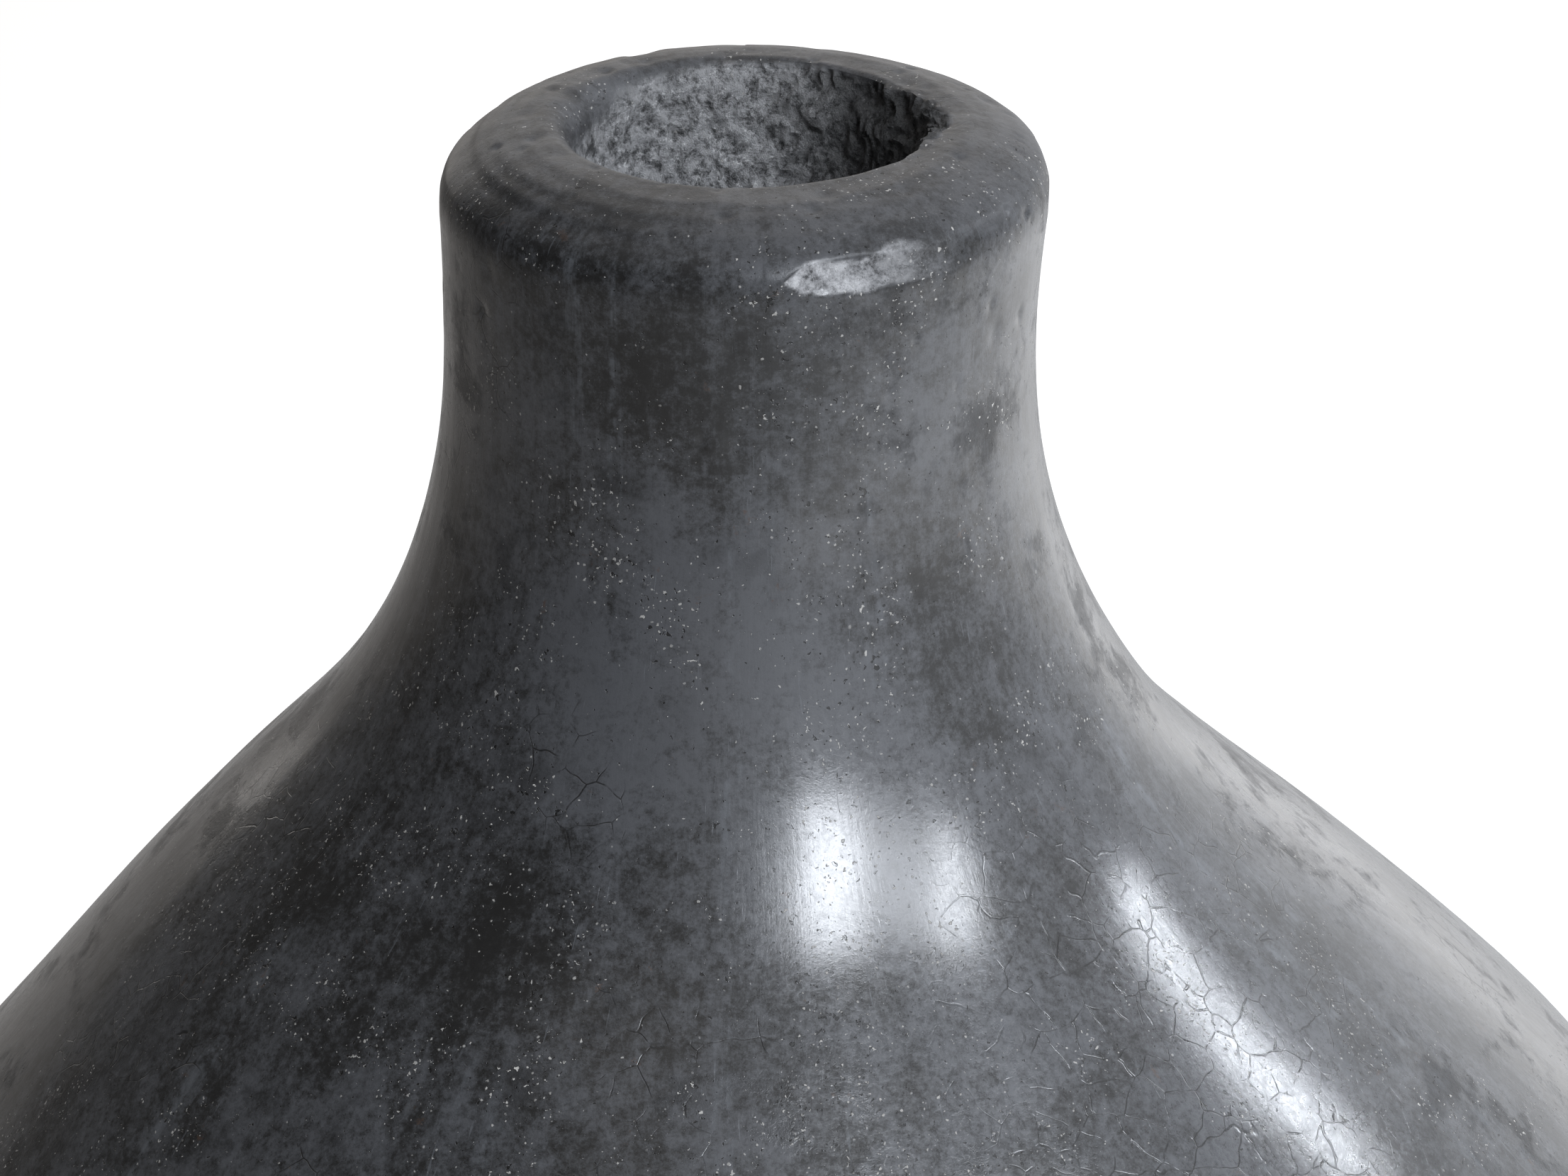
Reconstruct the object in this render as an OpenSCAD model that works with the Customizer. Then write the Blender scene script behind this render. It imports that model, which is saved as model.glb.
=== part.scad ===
// Black clay pot (barro negro): a round belly, a sloping shoulder, a flared neck and a thick rim.
// It is built as the potter builds it, in sections of clay stacked from the floor up. Each section
// carries a low ridge on its top edge that sits in a groove in the bottom edge of the next one.
// Origin: the centre of the flat foot, with +Z up the axis. Millimetres.

/* [Belly] */
// Widest diameter of the belly
belly_d = 336; // [320:2:352]
// Height of the widest place above the floor
belly_h = 131; // [122:1:140]
// Diameter of the flat foot that the pot stands on
foot_d = 124; // [100:2:148]
// Radius of the belly's upright curve above the widest place
belly_arc = 122; // [112:1:132]

/* [Shoulder] */
// Slope of the shoulder's outer end, from upright
shoulder_slope = 41.5; // [39:0.5:43]
// Radius of the shoulder's slight crown
shoulder_arc = 900; // [800:10:1000]

/* [Neck] */
// Diameter of the crease where the neck meets the shoulder
neck_foot_d = 152; // [144:1:160]
// Height from that crease to the neck's narrowest place
neck_flare_h = 74; // [68:1:80]
// Outer diameter of the neck's narrowest place
neck_d = 88; // [84:0.5:88.5]
// Height from the narrowest place to the rim's outer edge
collar_h = 25; // [22:0.5:30]

/* [Rim] */
// Outer diameter of the rim
rim_d = 90; // [89:0.5:94]
// Height of the rim's domed top above its outer edge
dome_h = 10; // [7:0.5:12]
// Diameter of the rim's crest
crest_d = 58; // [56:1:64]
// Diameter of the mouth just below the crest
mouth_d = 52; // [49:0.5:54]
// Diameter of the straight throat under the mouth
throat_d = 46; // [42:0.5:48]
// Length of the straight throat
throat_l = 16; // [12:1:20]
// Height of the rim's ring of clay
rim_ring_h = 22; // [18:0.5:25]

/* [Clay] */
// Thickness of the wall from the floor to the shoulder
wall = 10; // [8:0.5:12]
// Thickness of the flat floor
floor_t = 12; // [12:0.5:15]
// Height of the ridge that locates one section on the next
ridge = 2.5; // [1:0.5:3]

/* [Hidden] */

burnished = [0.27, 0.28, 0.30];
matt = [0.22, 0.22, 0.22];
chord = 9;          // longest straight step along an arc
low_coils = 2;      // coils between the lower bowl and the widest place
high_coils = 3;     // coils between the widest place and the shoulder
shoulder_coils = 3;
pad_angle = -64;    // the base pad's edge, seen from the lower arc's centre
bowl_angle = -28;   // the lower bowl's edge, seen from the same centre

belly_r = belly_d / 2;
foot_r = foot_d / 2;
neck_r = neck_d / 2;
neck_foot_r = neck_foot_d / 2;
rim_r = rim_d / 2;
crest_r = crest_d / 2;
mouth_r = mouth_d / 2;
throat_r = throat_d / 2;

// Lower body: one arc, upright at the widest place, that meets the floor at the foot's edge
lower_arc = through(belly_r - foot_r, belly_h);
lower_centre = [belly_r - lower_arc, belly_h];
foot_angle = -asin(belly_h / lower_arc);
floor_angle = -asin((belly_h - floor_t) / (lower_arc - wall));

// Upper belly, then the shoulder, which carries on from it with no corner
belly_centre = [belly_r - belly_arc, belly_h];
shoulder_start = polar(belly_centre, belly_arc, shoulder_slope);
shoulder_centre = polar(shoulder_start, -shoulder_arc, shoulder_slope);
crease_angle = acos((neck_foot_r - shoulder_centre.x) / shoulder_arc);
crease = polar(shoulder_centre, shoulder_arc, crease_angle);
inner_crease = polar(shoulder_centre, shoulder_arc - wall, crease_angle);

// Neck: hollow arcs that turn upright at the narrowest place outside and at the throat inside
waist_z = crease.y + neck_flare_h;
edge_z = waist_z + collar_h;
top_z = edge_z + dome_h;
ring_z = top_z - rim_ring_h;
throat_z = ring_z - throat_l;

flare_arc = through(neck_foot_r - neck_r, neck_flare_h);
flare_centre = [neck_r + flare_arc, waist_z];
flare_angle = asin(neck_flare_h / flare_arc);
inner_flare_h = throat_z - inner_crease.y;
inner_flare_arc = through(inner_crease.x - throat_r, inner_flare_h);
inner_flare_centre = [throat_r + inner_flare_arc, throat_z];
inner_flare_angle = asin(inner_flare_h / inner_flare_arc);

collar_arc = through(rim_r - neck_r, collar_h);
collar_centre = [neck_r + collar_arc, waist_z];
collar_angle = asin(collar_h / collar_arc);
ring_angle = asin((ring_z - waist_z) / collar_arc);

// Radius of an arc that starts upright and has moved d sideways after a height h
function through(d, h) = (d * d + h * h) / (2 * d);

function polar(centre, radius, angle) = centre + radius * [cos(angle), sin(angle)];

function reverse(points) = [for (i = [len(points) - 1:-1:0]) points[i]];

function last(points) = points[len(points) - 1];

function arc(centre, radius, from, to) =
    let (steps = max(2, ceil(radius * abs(to - from) * PI / 180 / chord)))
    [for (i = [0:steps]) polar(centre, radius, from + (to - from) * i / steps)];

// Tip of the ridge on a joint that runs straight through the wall from its outer to its inner end
function ridge_tip(outer, inner) =
    let (across = inner - outer)
    (outer + inner) / 2 + ridge * [across.y, -across.x] / norm(across);

// A ring of clay between two outlines, both drawn upwards, grooved below and ridged above
module section(outer, inner) {
    groove = ridge_tip(outer[0], inner[0]);
    tip = ridge_tip(last(outer), last(inner));
    rotate_extrude($fn = 120)
        polygon(concat([groove], outer, [tip], reverse(inner)));
}

// One of several equal coils laid along a swelling arc, counted upwards from 0
module coil(centre, radius, from, to, count, index) {
    low = from + (to - from) * index / count;
    high = from + (to - from) * (index + 1) / count;
    section(arc(centre, radius, low, high), arc(centre, radius - wall, low, high));
}

// Flat disc with a slightly raised edge, the first clay laid down
module base_pad() {
    outer = arc(lower_centre, lower_arc, foot_angle, pad_angle);
    inner = arc(lower_centre, lower_arc - wall, floor_angle, pad_angle);
    tip = ridge_tip(last(outer), last(inner));
    color(matt)
        rotate_extrude($fn = 120)
            polygon(concat([[0, 0]], outer, [tip], reverse(inner), [[0, floor_t]]));
}

// Bowl raised from the pad, which carries the coils
module lower_bowl() {
    color(burnished)
        coil(lower_centre, lower_arc, pad_angle, bowl_angle, 1, 0);
}

// Coils of the belly, numbered upwards from 1, on both sides of the widest place
module belly_coil(number) {
    color(burnished)
        if (number <= low_coils)
            coil(lower_centre, lower_arc, bowl_angle, 0, low_coils, number - 1);
        else
            coil(belly_centre, belly_arc, 0, shoulder_slope, high_coils, number - low_coils - 1);
}

// Coils of the shoulder, numbered upwards from 1, up to the crease under the neck
module shoulder_coil(number) {
    color(burnished)
        coil(shoulder_centre, shoulder_arc, shoulder_slope, crease_angle, shoulder_coils, number - 1);
}

// Flared lower half of the neck
module neck_foot() {
    color(burnished)
        section(
            arc(flare_centre, flare_arc, 180 + flare_angle, 180 + flare_angle / 2),
            arc(inner_flare_centre, inner_flare_arc, 180 + inner_flare_angle, 180 + inner_flare_angle / 2)
        );
}

// Upright upper half of the neck, with the straight throat inside it
module neck_wall() {
    flare = arc(flare_centre, flare_arc, 180 + flare_angle / 2, 180);
    collar = arc(collar_centre, collar_arc, 180, 180 - ring_angle);
    inner = arc(inner_flare_centre, inner_flare_arc, 180 + inner_flare_angle / 2, 180);
    collar_above_waist = [for (i = [1:len(collar) - 1]) collar[i]];
    color(burnished)
        section(concat(flare, collar_above_waist), concat(inner, [[throat_r, ring_z]]));
}

// Thick ring of the rim: a domed top, a rounded lip and a mouth that narrows to the throat
module rim_ring() {
    lip = crest_r - mouth_r;
    side = arc(collar_centre, collar_arc, 180 - ring_angle, 180 - collar_angle);
    dome = [for (a = [15:15:90]) [crest_r + (rim_r - crest_r) * cos(a), edge_z + dome_h * sin(a)]];
    lip_edge = [for (a = [120:30:180]) polar([crest_r, top_z - lip], lip, a)];
    throat_edge = [throat_r, ring_z];
    groove = ridge_tip(side[0], throat_edge);
    color(burnished)
        rotate_extrude($fn = 120)
            polygon(concat([groove], side, dome, lip_edge, [throat_edge]));
}

base_pad();
lower_bowl();
for (number = [1:low_coils + high_coils])
    belly_coil(number);
for (number = [1:shoulder_coils])
    shoulder_coil(number);
neck_foot();
neck_wall();
rim_ring();
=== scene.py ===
import math

import bpy
import numpy as np
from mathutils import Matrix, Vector


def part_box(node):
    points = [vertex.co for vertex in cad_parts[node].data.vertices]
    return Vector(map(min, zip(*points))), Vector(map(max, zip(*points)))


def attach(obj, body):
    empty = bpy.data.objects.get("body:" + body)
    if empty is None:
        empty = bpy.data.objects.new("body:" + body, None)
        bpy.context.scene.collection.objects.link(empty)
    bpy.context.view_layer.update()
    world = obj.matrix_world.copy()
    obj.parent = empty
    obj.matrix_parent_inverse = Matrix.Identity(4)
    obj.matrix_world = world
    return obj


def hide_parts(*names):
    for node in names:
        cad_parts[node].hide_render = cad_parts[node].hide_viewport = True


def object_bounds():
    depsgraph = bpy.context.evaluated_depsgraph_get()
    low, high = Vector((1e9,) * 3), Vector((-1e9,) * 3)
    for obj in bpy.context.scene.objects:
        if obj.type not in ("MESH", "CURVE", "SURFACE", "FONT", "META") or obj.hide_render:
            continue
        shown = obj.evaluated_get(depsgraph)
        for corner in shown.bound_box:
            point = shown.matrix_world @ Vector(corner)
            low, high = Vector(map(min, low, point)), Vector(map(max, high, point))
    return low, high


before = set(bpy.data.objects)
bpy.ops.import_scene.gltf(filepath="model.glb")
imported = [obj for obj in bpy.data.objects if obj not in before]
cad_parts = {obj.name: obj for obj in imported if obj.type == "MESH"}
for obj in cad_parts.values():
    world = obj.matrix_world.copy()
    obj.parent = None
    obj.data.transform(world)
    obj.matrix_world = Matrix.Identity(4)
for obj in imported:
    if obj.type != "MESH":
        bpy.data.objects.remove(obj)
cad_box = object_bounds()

# ---------------------------------------------------------------------------
# Driving values, in metres and degrees
# ---------------------------------------------------------------------------

# The clay sections from the floor up. Each one stands on the one before it.
STACK = (
    ["base_pad", "lower_bowl"]
    + [f"belly_coil_{n}" for n in range(1, 6)]
    + [f"shoulder_coil_{n}" for n in range(1, 4)]
    + ["neck_foot", "neck_wall", "rim_ring"]
)
SEED = 11
COLUMNS = 720              # vertices round the pot, the same for every section

# Distance between rows of vertices along the skin
ROW = {"rim_ring": 0.0005, "neck_wall": 0.0008, "neck_foot": 0.0009}
ROW_SHOULDER = 0.0011
ROW_BELOW = 0.0018
ROW_INSIDE = 0.003
ROW_NECK_INSIDE = 0.0011   # the throat can be seen through the mouth
LINE_STEP = 0.0002         # distance between the points of the line that the rows are read from
CAP_RADIUS = 0.004         # the rows stop this far from the floor's centre, and a fan closes the rest
CAP_MARKS = ((0.5, 0.0), (1.0, 0.0))    # raw and worn at the centre, under the pot and inside it
RIDGE = 0.0025             # height of the ridge hidden in each joint
SHARP_TURN = 40            # a sharper turn than this stays a corner

# The rim
TOP = cad_box[1][2]
RIM_EDGE_DROP = 0.0063     # from the rim's top down to the edge where its side begins
SIDE_DRAW_IN = 0.0003      # the side draws in by this toward the edge
SIDE_DRAW_IN_LEFT = 0.0004     # and by this much more on the left
SIDE_FROM = TOP - 0.0142   # the side begins to draw in at this height
SIDE_TO = TOP - 0.0082     # and is drawn in fully at this one
CROWN_RISE = 0.0061        # from the edge up to the crown
CROWN_OUTER = 0.0450       # radius where the crown comes down to the edge's height
CROWN_INNER = 0.0310       # radius of the crown's highest place
CROWN_POWER = 2.5          # how flat the crown is in its middle

# The facet cut through the rim's edge. Angles round the pot: 0 faces the camera and +90 is its right
FACET_STARTS = (4.0, 14.0)     # angles where the facet begins and is full
FACET_ENDS = (66.0, 22.0)      # angles where it is gone and is still full
FACET_LEAN = 16.0          # how far the facet leans back from upright
FACET_DROP = 0.0056        # from the edge down to the facet's lower end
FACET_RADIUS = 0.0447      # radius of that lower end
FACET_ABOVE = TOP - 0.016  # nothing below this height is cut
WORN_STARTS = (6.0, 11.0)  # the same two pairs of angles for the facet's worn clay, which the material also paints pale as a painted highlight
WORN_ENDS = (46.0, 10.0)
WORN_RISE = 0.0037         # from the facet's lower end up to the middle of the worn clay
WORN_HALF = 0.0036         # half the height of the worn clay
WORN_MARGIN = 0.0003       # taken off that half, so that it closes where the facet has not begun
WORN_FADE = 0.0006         # width of the worn clay's soft edge

# The mouth
FUNNEL_TURN = -85          # the mouth opens out at this angle
CHIPPED_TURN = 88          # and its edge is chipped at this one
RAW_EDGE = 0.0024          # the bare clay begins this far inward of the rim's highest line
LIP = 0.0080               # middle of the mouth's lip, measured the same way
CHIPPED = 0.0040           # middle of the chipped edge, measured the same way

# The crease between neck and shoulder
CREASE_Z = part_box("shoulder_coil_3")[1][2] - RIDGE

# Unevenness of the clay: (height, size of its lumps, offset that makes each pattern its own)
HAND_WAVES = ((0.00017, 0.075, 0.0), (0.00008, 0.030, 3.1))
RIM_WAVES = 2.0            # the rim is more uneven than the rest by this many times
STROKE_WAVES = ((0.00005, 0.012, 5.7), (0.00002, 0.0045, 9.2))
STROKE_REACH = 0.09        # the strokes are read on a cylinder of this radius
STROKE_SQUASH = 0.12       # and their pattern is drawn out up and down by the inverse of this
CALM_REACH = 0.035         # the best polished parts are smoother over this distance

# Shallow hollows all round the shoulder: (depth, height of the middle, width up and down)
HOLLOWS = ((0.0002, CREASE_Z - 0.011, 0.0095), (0.0004, 0.228, 0.030))

# How the pot is off true
SHOULDER_SWAY = 0.0051     # the shoulder swells to the right by this
CREASE_SWAY = 0.0014       # the crease stands to the left by this
NECK_SWAY = 0.0003         # and the neck above it by this
RIM_SWAY = 0.0005          # the rim stands to the right by this
RIM_EDGE_SWAY = 0.0009     # and its edge by this much more
RIM_TIP = 0.030            # the rim tips forward by this slope
RIM_SINK = 0.0010          # and lies lower by this

# Middles of the larger marks on the skin
BURNISHED_AT = (0.021, -0.058, 0.290)      # polished best
CRACKED_AT = (0.066, -0.057, 0.264)        # hairline cracks
PALE_AT = (-0.004, -0.048, 0.316)
DARK_AT = (-0.046, -0.051, 0.282)
SPECKLED_AT = (0.022, -0.077, 0.034)       # a band up and down the neck, in the strokes' coordinates

# ---------------------------------------------------------------------------
# Noise: smooth, repeatable, the same for every section
# ---------------------------------------------------------------------------

_rng = np.random.default_rng(SEED)
_PERM = _rng.permutation(256)
_GRAD = _rng.normal(size=(256, 3))
_GRAD /= np.linalg.norm(_GRAD, axis=1)[:, None]


def noise(points, size, offset=0.0):
    """Gradient noise, about -1 to 1, whose lumps are about size across."""
    p = points / size + offset
    cell = np.floor(p).astype(np.int64)
    f = p - cell
    w = f * f * f * (f * (f * 6.0 - 15.0) + 10.0)
    total = np.zeros(p.shape[:-1])
    for corner in range(8):
        d = np.array([corner & 1, corner >> 1 & 1, corner >> 2 & 1])
        c = (cell + d) & 255
        g = _GRAD[_PERM[(_PERM[(_PERM[c[..., 0]] + c[..., 1]) & 255] + c[..., 2]) & 255]]
        weight = np.prod(np.where(d, w, 1.0 - w), axis=-1)
        total += weight * np.sum(g * (f - d), axis=-1)
    return total * 1.6


def fractal(points, size, octaves, offset=0.0):
    """Sum of noise at size, half size and so on."""
    return sum(noise(points, size / 2**k, offset + 7.3 * k) / 2**k for k in range(octaves))


def smooth(low, high, value):
    """0 below low, 1 above high, smooth between."""
    t = np.clip((value - low) / (high - low), 0.0, 1.0)
    return t * t * (3.0 - 2.0 * t)


def bump(value, centre, width):
    """A bell of height 1 at centre."""
    return np.exp(-(((value - centre) / width) ** 2))


def turn_bump(phi, centre, width):
    """A bell round the pot, angles in degrees."""
    away = (np.degrees(phi) - centre + 180.0) % 360.0 - 180.0
    return np.exp(-((away / width) ** 2))


# ---------------------------------------------------------------------------
# The skin: one line from the foot's centre up the outside, over the rim and down inside,
# read from the CAD sections and then carried round the axis with the potter's unevenness
# ---------------------------------------------------------------------------


ON_SEAM = 1e-5             # a vertex this near the plane of the cut lies on it
OFF_AXIS = 1e-3            # and this far out it is not a centre point


def seam(node):
    """The section's outline where its solid is cut along +X, as a graph of corner to neighbours."""
    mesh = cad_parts[node].data
    links = {}
    corner = [None] * len(mesh.vertices)
    for v in mesh.vertices:
        if abs(v.co.y) < ON_SEAM and v.co.x > OFF_AXIS:
            corner[v.index] = (round(v.co.x, 5), round(v.co.z, 5))
    for e in mesh.edges:
        a, b = (corner[i] for i in e.vertices)
        if a and b and a != b:
            links.setdefault(a, set()).add(b)
            links.setdefault(b, set()).add(a)
    return links


def joint(lower, upper):
    """The corners that two sections share: the outer end, those between, and the inner end."""
    shared = set(lower) & set(upper)
    ends = sorted(c for c in shared if lower[c] - shared and upper[c] - shared)
    return [ends[-1]] + sorted(shared - {ends[0], ends[-1]}) + [ends[0]]


def walk(links, start, stop, banned):
    """Corners from start to stop, or to the end of the line, the way round that meets no banned corner."""
    for ahead in sorted(links[start]):
        path = [start]
        while ahead and ahead not in banned:
            path.append(ahead)
            if ahead == stop:
                return path
            onward = [c for c in links[ahead] if c != path[-2]]
            ahead = onward[0] if onward else None
        if not ahead and not stop:
            return path
    raise ValueError("the section's outline is broken")


def spline(points, step):
    """A smooth line through the points: rows of (length so far, r, z)."""
    points = np.array(points)
    gap = np.linalg.norm(np.diff(points, axis=0), axis=1)
    at = np.concatenate([[0.0], np.cumsum(gap)])
    slope = np.diff(points, axis=0) / gap[:, None]
    tangent = np.empty_like(points)
    tangent[0], tangent[-1] = slope[0], slope[-1]
    weighted = slope[:-1] * gap[1:, None] + slope[1:] * gap[:-1, None]
    tangent[1:-1] = weighted / (gap[:-1] + gap[1:])[:, None]
    s = np.linspace(0.0, at[-1], max(2, int(at[-1] / step)))
    k = np.clip(np.searchsorted(at, s, side="right") - 1, 0, len(gap) - 1)
    h = gap[k][:, None]
    t = ((s - at[k]) / gap[k])[:, None]
    a = points[k] * (2 * t**3 - 3 * t**2 + 1) + tangent[k] * h * (t**3 - 2 * t**2 + t)
    b = points[k + 1] * (3 * t**2 - 2 * t**3) + tangent[k + 1] * h * (t**3 - t**2)
    return np.column_stack([s, a + b])


def build_skin():
    """The skin line's corners, and which of them each joint crosses: (corners, outside, inside)."""
    links = {node: seam(node) for node in STACK}
    joints = [joint(links[a], links[b]) for a, b in zip(STACK, STACK[1:])]
    outside, inside = [], []
    low = joints[0]
    outside.append([(0.0, 0.0)] + walk(links["base_pad"], low[0], None, low[1:])[::-1])
    bed = walk(links["base_pad"], low[-1], None, low[:-1])
    inside.append(bed + [(0.0, bed[-1][1])])
    for node, low, high in zip(STACK[1:-1], joints, joints[1:]):
        outside.append(walk(links[node], low[0], high[0], low[1:] + high[1:]))
        inside.append(walk(links[node], high[-1], low[-1], low[:-1] + high[:-1]))
    rim = walk(links["rim_ring"], joints[-1][0], joints[-1][-1], joints[-1][1:-1])
    corners = outside[0][:1]
    crossed_out = []
    for part in outside:
        corners += part[1:]
        crossed_out.append(len(corners) - 1)
    corners += rim[1:]
    crossed_in = [len(corners) - 1]
    for part in inside[:0:-1]:
        corners += part[1:]
        crossed_in.append(len(corners) - 1)
    corners += inside[0][1:]
    return corners, crossed_out, crossed_in[::-1]


def smooth_line(corners):
    """The line through all corners, rounded but at the sharp turns, and the place of each corner on it."""
    points = np.array(corners)
    d = np.diff(points, axis=0)
    d /= np.linalg.norm(d, axis=1)[:, None]
    flat = math.cos(math.radians(SHARP_TURN))
    sharp = [0] + [i for i in range(1, len(points) - 1) if d[i - 1] @ d[i] < flat] + [len(points) - 1]
    rows, places, start = [], np.zeros(len(points)), 0.0
    for a, b in zip(sharp, sharp[1:]):
        run = spline(points[a : b + 1], LINE_STEP)
        lengths = np.linalg.norm(np.diff(points[a : b + 1], axis=0), axis=1)
        at = np.concatenate([[0.0], np.cumsum(lengths)])
        places[a : b + 1] = start + at
        run[:, 0] += start
        rows.append(run if not rows else run[1:])
        start += at[-1]
    return np.concatenate(rows), places


def eased(line, low, high, reach):
    """The line with its slight corners worn round between two places."""
    away = np.arange(-3.0 * reach, 3.0 * reach, LINE_STEP)
    weight = np.exp(-((away / reach) ** 2))
    at = line[:, 0]
    mean = np.stack([[np.interp(at + a, at, line[:, c]) for a in away] for c in (1, 2)])
    mean = np.tensordot(mean, weight / weight.sum(), axes=(1, 0)).T
    share = smooth(low, low + 0.02, line[:, 0]) * smooth(high, high - 0.02, line[:, 0])
    line[:, 1:] += (mean - line[:, 1:]) * share[:, None]
    return line


corners, crossed_out, crossed_in = build_skin()
line, places = smooth_line(corners)
S_OUT = places[crossed_out]    # where each joint reaches the outside, and below the inside
S_IN = places[crossed_in]
S_MIDDLE_SHOULDER = S_OUT[STACK.index("shoulder_coil_2")]
line = eased(line, S_OUT[0], S_OUT[-1], 0.005)
S_END = line[-1, 0]
_direction = np.gradient(line[:, 1:], line[:, 0], axis=0)
_direction /= np.linalg.norm(_direction, axis=1)[:, None]
S_TOP = line[np.argmax(line[:, 2]), 0]
PHI = np.linspace(-math.pi, math.pi, COLUMNS, endpoint=False)

_pit_rng = np.random.default_rng(SEED + 1)


def scatter_pits(count, low, high, radius, depth):
    """Rows of (place along the skin, angle, radius, depth): count dents between two places."""
    s = _pit_rng.uniform(low, high, count)
    phi = _pit_rng.uniform(-math.pi, math.pi, count)
    r = np.exp(_pit_rng.uniform(math.log(radius[0]), math.log(radius[1]), count))
    d = _pit_rng.uniform(depth[0], depth[1], count)
    return np.column_stack([s, phi, r, d])


PITS = np.concatenate([
    scatter_pits(150, S_OUT[-1] - 0.012, S_TOP + 0.004, (0.0006, 0.0020), (0.0001, 0.0004)),
    scatter_pits(110, S_MIDDLE_SHOULDER, S_OUT[-1], (0.0006, 0.0012), (0.00002, 0.00008)),
    scatter_pits(260, S_OUT[0], S_MIDDLE_SHOULDER, (0.0008, 0.0020), (0.00003, 0.00012)),
])


def pitted(s, height):
    """Takes each dent out of height, a grid of rows at places s by columns at PHI."""
    for place, angle, radius, depth in PITS:
        reach = 2.5 * radius
        rows = np.nonzero(np.abs(s - place) < reach)[0]
        wall = float(np.interp(place, line[:, 0], line[:, 1]))
        turn = (PHI - angle + math.pi) % (2 * math.pi) - math.pi
        columns = np.nonzero(np.abs(turn) < reach / wall)[0]
        away = ((s[rows, None] - place) ** 2 + (turn[columns] * wall)[None, :] ** 2) / radius**2
        height[np.ix_(rows, columns)] -= depth * np.exp(-away)
    return height


def around(point):
    """The point carried to a squat cylinder, where noise runs in strokes up and down the wall."""
    out = np.linalg.norm(point[..., :2], axis=-1, keepdims=True)
    flat = point[..., :2] / np.maximum(out, 1e-4) * STROKE_REACH
    return np.stack([flat[..., 0], flat[..., 1], point[..., 2] * STROKE_SQUASH], axis=-1)


def rim_cut(phi, point, r, z, normal, outside):
    """How far the rim stands in from the CAD dome, and how worn the clay is, 0 to 1, a mark that the
    material also paints pale as a painted highlight.

    A side that draws in to an edge, a shallow crown inside that edge, and on the right a facet cut through
    the edge. The normal is the CAD line's, as (r, z).
    """
    edge = TOP - RIM_EDGE_DROP + 0.0005 * noise(point, 0.045, 4.4) + 0.0002 * noise(point, 0.008, 1.9)
    turn = np.degrees(phi)
    draw_in = SIDE_DRAW_IN + SIDE_DRAW_IN_LEFT * smooth(30.0, -50.0, turn)
    cut = -draw_in * smooth(SIDE_FROM, SIDE_TO, z) * np.maximum(normal[0], 0.0) * outside
    inward = np.clip((r - CROWN_INNER) / (CROWN_OUTER - CROWN_INNER), 0.0, 2.0)
    crown = edge + CROWN_RISE * (1.0 - inward**CROWN_POWER)
    cut = np.minimum(cut, (crown - z) * np.maximum(normal[1], 0.0))
    # the facet starts ragged on its left and fades out to the right
    begun = smooth(*FACET_STARTS, turn + 2.6 * noise(point, 0.006, 6.6))
    deep = begun * smooth(*FACET_ENDS, turn) * outside
    foot = edge - FACET_DROP + 0.0011 * noise(point, 0.009, 6.6) + 0.0005 * noise(point, 0.0035, 2.9)
    facet = FACET_RADIUS - deep * math.tan(math.radians(FACET_LEAN)) * np.maximum(z - foot, 0.0)
    reached = (z > FACET_ABOVE) & (outside > 0.0)
    cut_to = np.where(reached, (facet - r) * np.maximum(normal[0], 0.0), 0.0)
    ragged = 0.0003 * noise(point, 0.0045, 5.9) + 0.0003 * noise(point, 0.0016, 7.1)
    half = WORN_HALF * smooth(*WORN_STARTS, turn) - WORN_MARGIN + ragged
    worn = smooth(0.0, WORN_FADE, half - np.abs(z - foot - WORN_RISE))
    return np.minimum(cut, cut_to), worn * smooth(*WORN_ENDS, turn) * outside


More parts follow.
